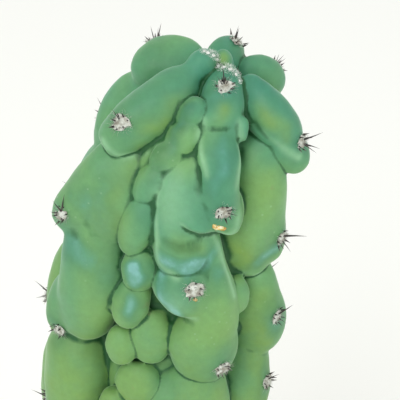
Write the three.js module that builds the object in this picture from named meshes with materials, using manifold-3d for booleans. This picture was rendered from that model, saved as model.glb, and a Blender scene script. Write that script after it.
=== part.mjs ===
// A blue myrtle cactus of the swollen, knobbly kind, standing in gritty soil in a plain clay pot.
// Millimetres, +Z up, front towards -Y. The origin is the centre of the pot's underside.
import * as THREE from "three";
import { mergeVertices } from "three/addons/utils/BufferGeometryUtils.js";
import Module from "manifold-3d";

// Pot, turned in red clay with a thick band round its rim.
const POT_HEIGHT = 108;
const POT_RADIUS = 60;
const POT_BASE_RADIUS = 41;
const POT_WALL = 5;
const POT_FLOOR = 6;
const RIM_HEIGHT = 20;
const RIM_STEP = 4;
const POT_INSIDE_TOP = POT_RADIUS - RIM_STEP - 3;
const DRAIN_RADIUS = 7;
const POT_SIDES = 56;

// Soil, which lies a little below the rim.
const SOIL_TOP = 100;
const SOIL_SIDES = 40;
const SOIL_RINGS = 7;
const SOIL_ROUGHNESS = 0.7;
const STONE_COUNT = 45;
const STONE_RADIUS = 2.6;
const STONE_RING_INSIDE = 36;
const STONE_RING_WIDTH = 12;

// Stem, measured along its own axis from the soil. The axis leans more and more to the right.
const STEM_HEIGHT = 185;
const STEM_ACROSS = -5;
const STEM_TILT = THREE.MathUtils.degToRad(20);
const ROOT_DEPTH = 32;
const ROOT_RADIUS = 27;
const BLUNTNESS = 0.6;
const FACET_FILL = 1.04;
const FACING_OUT = 0.9;
const FACING_UP = 0.45;
const TUBERCLE_SIDES = 8;
const TUBERCLE_RINGS = 8;
const RIB_DEPTH = 12;
const RIB_SIDES = 8;
const RIB_RINGS = 7;
const BEAD_DEPTH = 5.5;
const BEAD_SIDES = 6;
const BEAD_RINGS = 4;
const CORE_SIDES = 20;

// Wool pads and the needles that stand in them.
const PAD_RADIUS = 3.8;
const PAD_THICKNESS = 1.5;
const PAD_SIDES = 6;
const PAD_RINGS = 3;
const NEEDLE_RADIUS = 0.38;
const NEEDLE_SIDES = 3;
const SHORT_NEEDLES = 3;
const SHORT_NEEDLE_LENGTH = 2.6;
const SHORT_NEEDLE_TILT = 40;
const SHORT_NEEDLE_PLAY = 10;

// Clearance between the pieces.
const GAP = 0.3;

const wasm = await Module();
wasm.setup();

// One seeded series of random numbers between 0 and 1.
function seededRandom(seed) {
  let state = seed;
  return () => {
    state = (state * 1664525 + 1013904223) % 4294967296;
    return state / 4294967296;
  };
}

// A closed geometry with its shared corners merged.
function bareGeometry(geometry) {
  const bare = geometry.clone();
  bare.deleteAttribute("normal");
  bare.deleteAttribute("uv");
  return mergeVertices(bare, 1e-3);
}

// A closed geometry as a solid that can be joined and cut.
function solidOf(geometry) {
  const merged = bareGeometry(geometry);
  return new wasm.Manifold(
    new wasm.Mesh({
      numProp: 3,
      vertProperties: merged.attributes.position.array,
      triVerts: new Uint32Array(merged.index.array),
    }),
  );
}

// A joined solid as a geometry again.
function geometryOf(solid) {
  const mesh = solid.getMesh();
  const geometry = new THREE.BufferGeometry();
  geometry.setAttribute("position", new THREE.BufferAttribute(mesh.vertProperties, 3));
  geometry.setIndex(new THREE.BufferAttribute(mesh.triVerts, 1));
  geometry.computeVertexNormals();
  return geometry;
}

function joined(solids) {
  let whole = solids[0];
  for (const solid of solids.slice(1)) whole = whole.add(solid);
  return whole;
}

// The biggest body of a joined solid, with the hollows that joining sealed filled in.
function filled(solid) {
  const bodies = solid.decompose();
  bodies.sort((one, other) => other.volume() - one.volume());
  return bodies[0];
}

// A turned solid with its axis upright. The profile runs up the outside from the lowest point.
function turned(profile, sides) {
  const points = profile.map(([radius, up]) => new THREE.Vector2(radius, up));
  const geometry = new THREE.LatheGeometry(points, sides);
  geometry.rotateX(Math.PI / 2);
  return geometry;
}

// A point near the stem, given across, to the front and up its axis, in the part's frame.
function onStem(across, front, up) {
  const share = Math.max(up, 0) / STEM_HEIGHT;
  const tilt = STEM_TILT * share ** 2;
  const axisAcross = STEM_HEIGHT * ((STEM_TILT * share ** 3) / 3 - (STEM_TILT ** 3 * share ** 7) / 42);
  const axisUp = up - (STEM_HEIGHT * STEM_TILT ** 2 * share ** 5) / 10;
  return new THREE.Vector3(
    STEM_ACROSS + axisAcross + across * Math.cos(tilt),
    -front,
    SOIL_TOP + axisUp - across * Math.sin(tilt),
  );
}

// The same for a place given by its azimuth in degrees, 0 at the front and 90 on the right.
function roundStem(azimuth, radius, up) {
  const angle = THREE.MathUtils.degToRad(azimuth);
  return onStem(radius * Math.sin(angle), radius * Math.cos(angle), up);
}

// A swollen tubercle: a blunt-ended body along a smooth centre line. Each point of the line is
// [across, front, up, half width], and depth is half its thickness away from the stem.
function tubercle(points, depth, sides = TUBERCLE_SIDES, rings = TUBERCLE_RINGS) {
  const line = new THREE.CatmullRomCurve3(
    points.map(([across, front, up]) => new THREE.Vector3(across, -front, up)),
    false,
    "catmullrom",
    0.5,
  );
  const outward = new THREE.Vector3();
  for (const [across, front] of points.slice(Math.floor(points.length / 2))) {
    outward.add(new THREE.Vector3(across, -front, 0));
  }
  outward.normalize();
  const facing = new THREE.Vector3(0, 0, FACING_UP).addScaledVector(outward, FACING_OUT);
  const geometry = new THREE.SphereGeometry(1, sides, rings);
  const position = geometry.attributes.position;
  for (let i = 0; i < position.count; i++) {
    const along = THREE.MathUtils.clamp((1 - position.getY(i)) / 2, 0, 1);
    const round = Math.hypot(position.getX(i), position.getZ(i));
    const angle = Math.atan2(position.getX(i), position.getZ(i));
    const reach = round < 1e-6 ? 0 : FACET_FILL * round ** BLUNTNESS;
    const place = along * (points.length - 1);
    const before = Math.min(Math.floor(place), points.length - 2);
    const width = THREE.MathUtils.lerp(points[before][3], points[before + 1][3], place - before);
    const side = line.getTangent(along).cross(facing).normalize();
    const out = side.clone().cross(line.getTangent(along));
    const point = line.getPoint(along);
    point.addScaledVector(side, width * reach * Math.cos(angle));
    point.addScaledVector(out, depth * reach * Math.sin(angle));
    const placed = onStem(point.x, -point.y, point.z);
    position.setXYZ(i, placed.x, placed.y, placed.z);
  }
  return geometry;
}

// A plain tubercle of a rib, hanging from under the one above to its own blunt tip. Lean is how far
// its root stands round the stem from its tip, in degrees.
function ribTubercle(azimuth, reach, tip, halfWidth = 14, lean = 0) {
  const line = [
    [reach - 24, 30, 0.75, 1],
    [reach - 16, 20, 1, 0.7],
    [reach - 12, 9, 1.05, 0.3],
    [reach - 12, -2, 1, 0],
    [reach - 14, -10, 0.7, -0.2],
  ];
  const points = line.map(([radius, above, share, turn]) => {
    const angle = THREE.MathUtils.degToRad(azimuth + lean * turn);
    return [radius * Math.sin(angle), radius * Math.cos(angle), tip + above, halfWidth * share];
  });
  return tubercle(points, RIB_DEPTH, RIB_SIDES, RIB_RINGS);
}

// A small tubercle without wool, lying in a furrow. Lean is how far its top tips to the right.
function bead(across, front, up, halfWidth, halfLength, lean) {
  const run = halfLength * Math.sin(THREE.MathUtils.degToRad(lean));
  const rise = halfLength * Math.cos(THREE.MathUtils.degToRad(lean));
  const line = [
    [across + run, front - 7, up + rise, halfWidth * 0.9],
    [across, front - 5, up, halfWidth * 1.1],
    [across - run, front - 6, up - rise, halfWidth * 0.9],
  ];
  return tubercle(line, BEAD_DEPTH, BEAD_SIDES, BEAD_RINGS);
}

const GROWING_TIP = [
  tubercle([[-2, 1, 189, 3], [-1, 4, 188, 4], [0.5, 7, 185, 4]], 5, BEAD_SIDES, BEAD_RINGS),
];

const FRONT_RIB = [
  tubercle(
    [[0.5, 5, 185, 5], [1, 11, 182.5, 7], [2, 16, 178, 7.5], [2.5, 20, 173, 8.5], [4, 24, 167, 8]],
    9,
  ),
  tubercle(
    [[3, 20, 173, 8], [4, 25, 166, 8.5], [6, 28, 160, 7.5], [8, 30, 152, 7], [10.5, 30, 141, 7]],
    9,
  ),
  tubercle([[0, 24, 156, 6], [1, 27.5, 149, 9], [3, 30, 143, 9.5], [6, 30.5, 138, 7.5]], 9),
  tubercle(
    [[-6, 18, 162, 5.5], [-3.5, 24, 154, 10], [-1, 27, 145, 11.5], [1, 28, 132, 11.5], [3, 28.5, 119, 8]],
    10,
  ),
  tubercle([[2, 26, 130, 7], [3, 28.5, 121, 11.5], [4, 29.5, 114, 12], [3.5, 29, 104, 8]], 10.5),
  tubercle(
    [[7, 22, 137, 5], [10, 25, 127, 6.5], [12.5, 27, 112, 10.5], [12, 28, 97, 13.5], [12, 28.5, 79, 11]],
    11.3,
  ),
  tubercle([[9, 25, 85, 9], [11, 27, 75, 11.5], [12, 28, 60, 12], [13, 27, 42, 8]], 12),
  ribTubercle(14, 41, 50),
  ribTubercle(14, 39, 20),
];

const LEFT_RIB = [
  tubercle([[-4, 5, 188, 4.5], [-7, 7, 186, 5], [-10, 9, 183, 5]], 6, BEAD_SIDES, BEAD_RINGS),
  tubercle(
    [[-8, 8, 182, 6], [-12, 11, 177, 8], [-17, 14, 171, 9], [-23, 17, 165, 9], [-31, 18, 155.5, 8.5]],
    9.5,
  ),
  tubercle(
    [[-20, 12, 160, 8], [-23, 13, 150, 9], [-27, 15, 142, 9.5], [-32, 14, 133, 9], [-39, 12, 122, 7]],
    11.5,
  ),
  tubercle([[-17, 12, 161, 9], [-19.5, 14, 148, 12], [-23, 15, 136, 13], [-25, 15, 122, 13.5]], 12),
  tubercle(
    [[-23, 13, 138, 11], [-26, 14, 124, 13], [-26, 15, 110, 13.5], [-27, 15, 98, 13], [-28, 14, 83, 11.5]],
    12.5,
  ),
  tubercle([[-31, 11, 106, 7], [-34.5, 11, 94, 8], [-37, 11, 83, 7]], 8, BEAD_SIDES, BEAD_RINGS),
  tubercle([[-27, 10, 85, 11], [-30, 10, 72, 14], [-30, 10, 54, 14.5], [-30, 10, 39, 11]], 13),
  ribTubercle(-68, 40, 18),
];

const RIGHT_RIB = [
  tubercle(
    [[5, 8, 186, 4.5], [10, 11, 183, 5.5], [15.5, 13, 180, 7], [21, 15, 177, 8], [28.5, 15, 173, 8]],
    9,
  ),
  tubercle([[20, 13, 175, 6], [25, 14, 170, 7.5], [27.5, 14, 166, 7], [27.5, 14, 160.5, 5.5]], 9),
  tubercle(
    [[16, 11, 174, 6], [18, 14, 161, 10], [21, 15, 148, 11], [23, 15, 134, 13], [24, 15, 116, 12.5]],
    12,
  ),
  tubercle([[22, 15, 150, 7], [26, 16, 138, 7.5], [29.5, 15, 122, 7.5]], 9, BEAD_SIDES, BEAD_RINGS),
  tubercle([[25, 12, 122, 7], [26.5, 14, 107, 9.5], [30, 14, 95, 10.5], [30, 13, 82, 8.5]], 12),
  tubercle([[26, 12, 90, 7], [26.5, 13, 76, 9.5], [26.5, 15, 62, 10.5], [26, 14, 48, 9.5]], 12),
  ribTubercle(62, 39, 23),
];

const BACK_LEFT_RIB = [
  tubercle(
    [
      [-4, -2, 180.5, 6],
      [-9, -5, 177.5, 8],
      [-15.5, -8, 174.5, 9.5],
      [-16, -10, 167, 9.5],
      [-12, -12, 152, 8],
    ],
    11,
  ),
  tubercle(
    [[-18, -10, 166, 7], [-21.5, -12, 156, 10.5], [-22, -13, 146, 12], [-20, -12, 134, 10.5]],
    12.5,
  ),
  ribTubercle(-120, 42, 116, 15, -8),
  tubercle([[-28, -8, 106, 8], [-30, -9, 95, 11], [-32, -9, 83, 13.5], [-32, -9, 61, 11]], 12.5),
  tubercle([[-30, -9, 71, 13], [-32, -9, 57, 15.5], [-32, -9, 43, 16], [-30, -9, 31, 12]], 13.5),
  ribTubercle(-108, 39, 20, 14, 6),
];

const BACK_RIB = [
  tubercle([[-2, -2, 181, 6], [1, -8, 184.5, 6.2], [3, -13, 182.5, 6.2], [4, -18, 172, 6]], 7),
  ribTubercle(176, 32, 150, 13, -6),
  ribTubercle(178, 39, 125, 16, 8),
  ribTubercle(184, 41, 89, 17, -8),
  ribTubercle(182, 43, 58, 16, 6),
  ribTubercle(186, 40, 21, 15, -5),
];

const BACK_RIGHT_RIB = [
  tubercle([[6, -3, 183, 5], [12, -7, 182, 6], [17, -10, 180, 7], [18, -12, 171, 6]], 8),
  ribTubercle(118, 32, 146, 13, 8),
  ribTubercle(124, 39, 117, 15, -7),
  ribTubercle(121, 41, 88, 15, 6),
  ribTubercle(126, 42, 56, 16, -6),
  ribTubercle(122, 39, 23, 14, 5),
];

const FURROW_BEADS = [
  bead(-6.5, 25, 174.5, 4.5, 5, 20),
  bead(-7, 28, 167, 5.5, 6.5, 22),
  bead(-10.5, 30, 160, 5, 5.5, 35),
  bead(-13, 31, 151, 5.5, 8, 22),
  bead(-14.5, 32, 136, 6, 11.5, 9),
  bead(-12, 32.5, 119.5, 6, 7.5, 0),
  bead(-13.5, 33, 106, 6.5, 8.5, 14),
  bead(-5.5, 33.5, 94, 7, 10.5, -2),
  bead(-15, 32.5, 89, 5.5, 6.5, -5),
  bead(-9, 33, 74, 7.5, 8, 0),
  bead(-2, 32, 66, 6, 7, 0),
  bead(-17, 32, 62, 6, 7, 0),
  bead(-10, 32, 52, 7, 7.5, 0),
  bead(9.5, 25, 175, 2.8, 5, -10),
  bead(22, 31, 112, 5.5, 7.5, -12),
];

// Beads of the furrows that face away: one below the other, with a little play in size and place.
const HIDDEN_FURROWS = [-92, -152, 150, 92];
const HIDDEN_BEAD_TOP = 146;
const HIDDEN_BEAD_LOWEST = 30;
const HIDDEN_BEAD_STEP = 30;
function hiddenBeads() {
  const random = seededRandom(11);
  const beads = [];
  for (const azimuth of HIDDEN_FURROWS) {
    let up = HIDDEN_BEAD_TOP;
    while (up > HIDDEN_BEAD_LOWEST) {
      const angle = THREE.MathUtils.degToRad(azimuth + 6 * (random() - 0.5));
      const reach = 31 + 2 * random();
      const out = new THREE.Vector3(Math.sin(angle), -Math.cos(angle), 0);
      const halfWidth = 5 + random();
      const line = [7, 0, -7].map((rise) => [
        out.x * (reach - 6),
        -out.y * (reach - 6),
        up + rise,
        halfWidth * (rise ? 0.9 : 1.1),
      ]);
      beads.push(tubercle(line, BEAD_DEPTH, BEAD_SIDES, BEAD_RINGS));
      up -= HIDDEN_BEAD_STEP + 5 * random();
    }
  }
  return beads;
}

// Wool pads: azimuth, distance from the axis, height, how far the needles' middle points up, size,
// and the longest needles, each by its length, its turn from the pad's right and its tilt outwards.
const PADS = [
  [-6, 12, 178, 50, 0.75, [[4, 92, 20]]],
  [15, 38, 151.5, 20, 0.8, [[3.5, 35, 50], [3, -15, 60]]],
  [8, 40, 121, 10, 1, [[2.5, 90, 10]]],
  [28, 41, 88, 0, 0.9, [[3.5, 60, 40]]],
  [14, 41, 53, 5, 0.9, [[4, 120, 40]]],
  [14, 39, 23, 5, 0.9, []],
  [-35, 7, 187, 60, 0.6, [[2, 100, 20]]],
  [-50, 36, 169, 25, 1, [[4, 130, 35]]],
  [-66, 43, 131, 20, 0.85, [[5.5, 110, 45], [5, 75, 45]]],
  [-67, 43, 87, 5, 0.9, [[4, 90, 50], [3.5, 40, 50]]],
  [-77, 46, 54, 0, 0.9, [[5, 100, 40], [4.5, 20, 40]]],
  [-68, 40, 22, 5, 0.9, []],
  [59, 36, 175, 20, 0.8, [[6.5, 45, 45], [5, 0, 45], [4, -40, 55]]],
  [58, 40, 135.5, 10, 0.8, [[6.5, 30, 45], [5, -45, 50]]],
  [64, 42, 101.5, 5, 0.8, [[6, 40, 45]]],
  [65, 42, 65, 5, 0.9, [[5, 80, 40]]],
  [62, 39, 25, 5, 0.9, []],
  [-125, 27, 180, 55, 0.9, [[5, 100, 15], [4, 160, 35]]],
  [-123, 40, 149, 15, 0.9, [[5, 100, 35]]],
  [-120, 42, 118, 10, 0.9, [[5, 60, 30], [4, 150, 40]]],
  [-105, 46, 90, 5, 0.9, [[6, 100, 45], [4, 0, 40]]],
  [-100, 46, 56, 5, 0.9, [[6, 120, 30], [5, 30, 45]]],
  [-108, 39, 22, 5, 0.9, []],
  [172, 16, 186, 80, 0.8, [[3.5, 120, 25], [3.5, 60, 40]]],
  [170, 35, 153, 15, 0.9, [[5, 60, 30], [4, 160, 35]]],
  [178, 40, 128, 10, 0.9, [[6, 80, 30]]],
  [184, 42, 92, 10, 0.9, [[5, 130, 35], [5, 30, 30]]],
  [182, 44, 61, 5, 0.9, [[4, 90, 40]]],
  [186, 41, 23, 5, 0.9, []],
  [125, 24, 185, 50, 0.8, [[3.5, 100, 15], [3, 60, 25]]],
  [118, 37, 149, 15, 0.9, [[5, 100, 30], [4, 0, 45]]],
  [124, 40, 120, 10, 0.9, [[5, 60, 35]]],
  [121, 42, 91, 10, 0.9, [[6, 110, 30], [4, 10, 40]]],
  [126, 43, 59, 5, 0.9, [[4, 80, 40]]],
  [122, 40, 25, 5, 0.9, []],
];
const PROBE_REACH = 60;

// One needle from the middle of its pad, sunk in at its root.
function needle(root, direction, length) {
  const geometry = new THREE.ConeGeometry(NEEDLE_RADIUS, length, NEEDLE_SIDES);
  geometry.translate(0, length / 2, 0);
  const turn = new THREE.Quaternion().setFromUnitVectors(new THREE.Vector3(0, 1, 0), direction);
  geometry.applyQuaternion(turn);
  geometry.translate(root.x, root.y, root.z);
  return geometry;
}

// The pads and needles on a finished skin, which a straight line from outside finds for each pad.
function padsAndNeedles(skin) {
  const random = seededRandom(5);
  const grown = [];
  const skinMesh = new THREE.Mesh(skin, new THREE.MeshBasicMaterial({ side: THREE.DoubleSide }));
  for (const [azimuth, radius, up, lift, size, longNeedles] of PADS) {
    const lifted = THREE.MathUtils.degToRad(lift);
    const target = roundStem(azimuth, radius, up);
    const outside = roundStem(
      azimuth,
      radius + PROBE_REACH * Math.cos(lifted),
      up + PROBE_REACH * Math.sin(lifted),
    );
    const outward = outside.clone().sub(target).normalize();
    const probe = new THREE.Raycaster(outside, outward.clone().negate());
    const [hit] = probe.intersectObject(skinMesh);
    const root = hit.point;
    const upright = new THREE.Vector3(0, 0, 1);
    const side = upright.clone().cross(outward).normalize();
    const top = outward.clone().cross(side);
    const facing = new THREE.Matrix4().makeBasis(side, top, outward);
    const pad = new THREE.SphereGeometry(1, PAD_SIDES, PAD_RINGS);
    pad.scale(PAD_RADIUS * size, PAD_RADIUS * size, PAD_THICKNESS);
    pad.applyMatrix4(facing);
    pad.translate(root.x, root.y, root.z);
    grown.push(pad);
    const needles = [...longNeedles];
    for (let i = 0; i < SHORT_NEEDLES; i++) {
      const turn = (360 * (i + random() * 0.4)) / SHORT_NEEDLES;
      needles.push([SHORT_NEEDLE_LENGTH, turn, SHORT_NEEDLE_TILT + SHORT_NEEDLE_PLAY * random()]);
    }
    needles.forEach(([length, turn, tilt]) => {
      const angle = THREE.MathUtils.degToRad(turn);
      const spread = Math.tan(THREE.MathUtils.degToRad(tilt));
      const direction = outward.clone();
      direction.addScaledVector(side, spread * Math.cos(angle));
      direction.addScaledVector(top, spread * Math.sin(angle));
      direction.normalize();
      const foot = root.clone().addScaledVector(direction, 0.6);
      foot.addScaledVector(side, Math.cos(angle));
      foot.addScaledVector(top, Math.sin(angle));
      grown.push(needle(foot, direction, length + PAD_THICKNESS));
    });
  }
  return grown;
}

// The body inside the ribs, with the plain round root that stands in the soil.
function core() {
  const profile = [
    [0, -ROOT_DEPTH],
    [ROOT_RADIUS - 4, -ROOT_DEPTH],
    [ROOT_RADIUS, -ROOT_DEPTH + 6],
    [ROOT_RADIUS, 3],
    [ROOT_RADIUS + 3, 14],
    [27, 125],
    [23, 152],
    [11, 174],
    [0, 179],
  ];
  const geometry = turned(profile, CORE_SIDES);
  const position = geometry.attributes.position;
  for (let i = 0; i < position.count; i++) {
    const placed = onStem(position.getX(i), -position.getY(i), position.getZ(i));
    position.setXYZ(i, placed.x, placed.y, placed.z);
  }
  return geometry;
}

function stemGeometry() {
  const body = [
    core(),
    ...GROWING_TIP,
    ...FRONT_RIB,
    ...LEFT_RIB,
    ...RIGHT_RIB,
    ...BACK_LEFT_RIB,
    ...BACK_RIB,
    ...BACK_RIGHT_RIB,
    ...FURROW_BEADS,
    ...hiddenBeads(),
  ];
  const skin = filled(joined(body.map(solidOf)));
  const grown = padsAndNeedles(geometryOf(skin)).map(solidOf);
  return geometryOf(filled(joined([skin, ...grown])));
}

function potGeometry() {
  const underRim = POT_HEIGHT - RIM_HEIGHT;
  const profile = [
    [DRAIN_RADIUS, 0],
    [POT_BASE_RADIUS - 2, 0],
    [POT_BASE_RADIUS, 2],
    [POT_RADIUS - RIM_STEP - 3, underRim],
    [POT_RADIUS - 2, underRim],
    [POT_RADIUS - 1, underRim + 2],
    [POT_RADIUS, POT_HEIGHT - 2],
    [POT_RADIUS - 1.5, POT_HEIGHT],
    [POT_INSIDE_TOP + 1, POT_HEIGHT],
    [POT_INSIDE_TOP, POT_HEIGHT - 2],
    [POT_BASE_RADIUS - POT_WALL, POT_FLOOR],
    [DRAIN_RADIUS, POT_FLOOR],
    [DRAIN_RADIUS, 0],
  ];
  return turned(profile, POT_SIDES);
}

// Inner radius of the pot at a height above its floor.
function insideRadius(up) {
  const share = (up - POT_FLOOR) / (POT_HEIGHT - 2 - POT_FLOOR);
  return THREE.MathUtils.lerp(POT_BASE_RADIUS - POT_WALL, POT_INSIDE_TOP, share);
}

function soilGeometry() {
  const random = seededRandom(3);
  const floor = POT_FLOOR + GAP;
  const profile = [
    [0, floor],
    [insideRadius(floor) - GAP * 2, floor],
    [insideRadius(SOIL_TOP) - GAP * 2, SOIL_TOP],
  ];
  for (let ring = SOIL_RINGS - 1; ring >= 0; ring--) {
    profile.push([((insideRadius(SOIL_TOP) - 2) * ring) / SOIL_RINGS, SOIL_TOP]);
  }
  const ground = bareGeometry(turned(profile, SOIL_SIDES));
  const position = ground.attributes.position;
  for (let i = 0; i < position.count; i++) {
    const isTop = position.getZ(i) > SOIL_TOP - 0.1;
    const isInner = Math.hypot(position.getX(i), position.getY(i)) < insideRadius(SOIL_TOP) - 3;
    if (isTop && isInner) position.setZ(i, SOIL_TOP + SOIL_ROUGHNESS * (random() * 2 - 1));
  }
  let soil = solidOf(ground);
  for (let i = 0; i < STONE_COUNT; i++) {
    const angle = 2 * Math.PI * random();
    const away = STONE_RING_INSIDE + STONE_RING_WIDTH * random();
    const size = STONE_RADIUS * (0.7 + 0.6 * random());
    const stone = new THREE.IcosahedronGeometry(size, 0);
    stone.rotateX(6 * random());
    stone.rotateY(6 * random());
    stone.scale(1, 0.8, 0.7);
    stone.translate(away * Math.cos(angle), away * Math.sin(angle), SOIL_TOP + size * 0.1);
    soil = soil.add(solidOf(stone));
  }
  const hole = turned(
    [
      [0, SOIL_TOP - ROOT_DEPTH - GAP],
      [ROOT_RADIUS + GAP, SOIL_TOP - ROOT_DEPTH - GAP],
      [ROOT_RADIUS + GAP, SOIL_TOP + 20],
      [0, SOIL_TOP + 20],
    ],
    SOIL_SIDES,
  );
  hole.translate(STEM_ACROSS, 0, 0);
  return geometryOf(soil.subtract(solidOf(hole)));
}

const clay = new THREE.MeshStandardMaterial({ color: 0xb5694a, roughness: 0.9, metalness: 0 });
const grit = new THREE.MeshStandardMaterial({ color: 0x5b4a3c, roughness: 1, metalness: 0 });
const waxyGreen = new THREE.MeshStandardMaterial({ color: 0x68a078, roughness: 0.55, metalness: 0 });

const group = new THREE.Group();
const pieces = [
  ["pot", potGeometry(), clay],
  ["soil", soilGeometry(), grit],
  ["stem", stemGeometry(), waxyGreen],
];
for (const [name, geometry, material] of pieces) {
  const mesh = new THREE.Mesh(geometry, material);
  mesh.name = name;
  group.add(mesh);
}

export default group;
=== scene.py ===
import math

import bmesh
import bpy
import numpy as np
from mathutils import Matrix, Quaternion, Vector, noise
from mathutils.bvhtree import BVHTree


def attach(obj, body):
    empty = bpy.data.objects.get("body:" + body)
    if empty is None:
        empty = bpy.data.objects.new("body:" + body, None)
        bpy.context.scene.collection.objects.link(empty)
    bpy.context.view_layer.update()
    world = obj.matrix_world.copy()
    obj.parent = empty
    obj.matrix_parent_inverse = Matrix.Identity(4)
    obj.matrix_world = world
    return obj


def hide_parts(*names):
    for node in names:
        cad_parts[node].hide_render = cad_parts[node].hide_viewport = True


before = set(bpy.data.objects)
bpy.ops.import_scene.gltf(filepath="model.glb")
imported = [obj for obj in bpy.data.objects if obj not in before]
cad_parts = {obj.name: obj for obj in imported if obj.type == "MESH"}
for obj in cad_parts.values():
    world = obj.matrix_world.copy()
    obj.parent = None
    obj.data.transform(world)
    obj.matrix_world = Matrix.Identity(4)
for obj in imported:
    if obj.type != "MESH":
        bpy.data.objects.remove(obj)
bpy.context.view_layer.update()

MM = 0.001


# Camera
# The photograph looks at the top of the stem from the front and about 30 degrees above it, through a
# long lens. The frame is 138 mm wide at the stem.
VIEW_RISE = math.radians(30)
VIEW_DISTANCE = 560 * MM
VIEW_WIDTH = 138 * MM
VIEW_AIM = Vector((9.0, 0.0, 231.4)) * MM
SENSOR = 36

camera = bpy.data.objects.new("camera", bpy.data.cameras.new("camera"))
bpy.context.scene.collection.objects.link(camera)
bpy.context.scene.camera = camera
look = Vector((0, math.cos(VIEW_RISE), -math.sin(VIEW_RISE)))
camera.location = VIEW_AIM - VIEW_DISTANCE * look
camera.rotation_euler = look.to_track_quat("-Z", "Y").to_euler()
camera.data.sensor_width = SENSOR
camera.data.lens = SENSOR * VIEW_DISTANCE / VIEW_WIDTH
camera.data.clip_start = 10 * MM


# Pot
# A plain flowerpot of red clay, pressed and turned with a thick band round its rim, fired without
# a glaze. Lime from the water has dried pale on its outside, most of all near its foot and rim.
POT_HEIGHT = 108 * MM
POT_RADIUS = 60 * MM
POT_BASE_RADIUS = 41 * MM
POT_WALL = 5 * MM
POT_FLOOR = 6 * MM
RIM_HEIGHT = 20 * MM
RIM_TAPER = 1.5 * MM
RIM_THICKNESS = 7 * MM
POT_INSIDE_TOP = POT_RADIUS - RIM_THICKNESS
POT_NECK_RADIUS = POT_INSIDE_TOP
DRAIN_RADIUS = 7 * MM
ROUNDING = 1.1 * MM
SHARP = math.radians(30)
POT_TURNS = 144
POT_WALL_ROWS = 11


def mesh_of(bm, name="shape"):
    """A finished bmesh as a mesh. The bmesh is freed."""
    mesh = bpy.data.meshes.new(name)
    bm.to_mesh(mesh)
    bm.free()
    return mesh


def added(name, mesh):
    """A mesh as a smooth-shaded object of the scene, at the origin."""
    mesh.shade_smooth()
    piece = bpy.data.objects.new(name, mesh)
    bpy.context.scene.collection.objects.link(piece)
    return piece


def shown(name, bm):
    """A finished bmesh as an object of the scene."""
    return added(name, mesh_of(bm, name))


def pot_wall():
    under_rim = POT_HEIGHT - RIM_HEIGHT
    profile = [
        (DRAIN_RADIUS, 0),
        (POT_BASE_RADIUS, 0),
        (POT_NECK_RADIUS, under_rim),
        (POT_RADIUS - RIM_TAPER, under_rim),
        (POT_RADIUS, POT_HEIGHT),
        (POT_INSIDE_TOP, POT_HEIGHT),
        (POT_BASE_RADIUS - POT_WALL, POT_FLOOR),
        (DRAIN_RADIUS, POT_FLOOR),
    ]
    bm = bmesh.new()
    corners = [bm.verts.new((radius, 0, up)) for radius, up in profile]
    sides = [bm.edges.new(pair) for pair in zip(corners, corners[1:] + corners[:1])]
    bmesh.ops.spin(
        bm,
        geom=corners + sides,
        axis=(0, 0, 1),
        cent=(0, 0, 0),
        angle=2 * math.pi,
        steps=POT_TURNS,
        use_merge=True,
    )
    bmesh.ops.recalc_face_normals(bm, faces=bm.faces)
    walls = [e for e in bm.edges if abs(e.verts[0].co.z - e.verts[1].co.z) > 10 * MM]
    bmesh.ops.subdivide_edges(bm, edges=walls, cuts=POT_WALL_ROWS, use_grid_fill=True)
    rings = [e for e in bm.edges if e.calc_face_angle(0) > SHARP]
    bmesh.ops.bevel(
        bm, geom=rings, affect="EDGES", offset=ROUNDING, segments=4, profile=0.5, material=-1
    )
    for v in bm.verts:
        wobble = noise.noise(v.co / (34 * MM)) * 0.35 + noise.noise(v.co / (9 * MM)) * 0.1
        outward = Vector((v.co.x, v.co.y, 0)).normalized()
        if v.co.z > 2 * MM:
            v.co += outward * wobble * MM
    return bm


def connect(tree, socket, value):
    """Gives a socket a value, which is a constant or another node's output."""
    if isinstance(value, bpy.types.NodeSocket):
        tree.links.new(value, socket)
    else:
        socket.default_value = value


def fill(tree, shader, **values):
    """Gives a node's sockets their values by name."""
    for name, value in values.items():
        connect(tree, shader.inputs[name.replace("_", " ")], value)


def material_of(name, **values):
    """A new material, its node tree and its surface shader, with the shader's values set by name."""
    material = bpy.data.materials.new(name)
    material.use_nodes = True
    tree = material.node_tree
    shader = tree.nodes["Principled BSDF"]
    fill(tree, shader, **values)
    return material, tree, shader


def node(tree, kind, output=0, **values):
    """One output of a new shader node, with the values of its sockets set by name."""
    made = tree.nodes.new("ShaderNode" + kind)
    fill(tree, made, **values)
    return made.outputs[output]


def ramp(tree, share, *stops):
    """The colour at a share of a ramp through rows of a position and a colour."""
    made = tree.nodes.new("ShaderNodeValToRGB")
    tree.links.new(share, made.inputs["Fac"])
    elements = made.color_ramp.elements
    elements.remove(elements[1])
    for i, (position, colour) in enumerate(stops):
        stop = elements[0] if i == 0 else elements.new(position)
        stop.position = position
        stop.color = (*colour, 1)
    return made.outputs["Color"]


def spread(tree, value, start, end, low=0, high=1):
    """A value that runs from low to high while another one runs from start to end."""
    return node(tree, "MapRange", Value=value, From_Min=start, From_Max=end, To_Min=low, To_Max=high)


def mix(tree, below, above, share, blend="MIX"):
    """A colour laid over another by a share. The upper one may be a fixed colour."""
    made = tree.nodes.new("ShaderNodeMix")
    made.data_type = "RGBA"
    made.blend_type = blend
    fill(tree, made, A=below, B=(*above, 1) if isinstance(above, tuple) else above, Factor=share)
    return made.outputs["Result"]


def maths(tree, operation, *terms):
    """The result of one operation on values and other nodes' outputs."""
    made = tree.nodes.new("ShaderNodeMath")
    made.operation = operation
    for socket, term in zip(made.inputs, terms):
        connect(tree, socket, term)
    return made.outputs["Value"]


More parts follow.
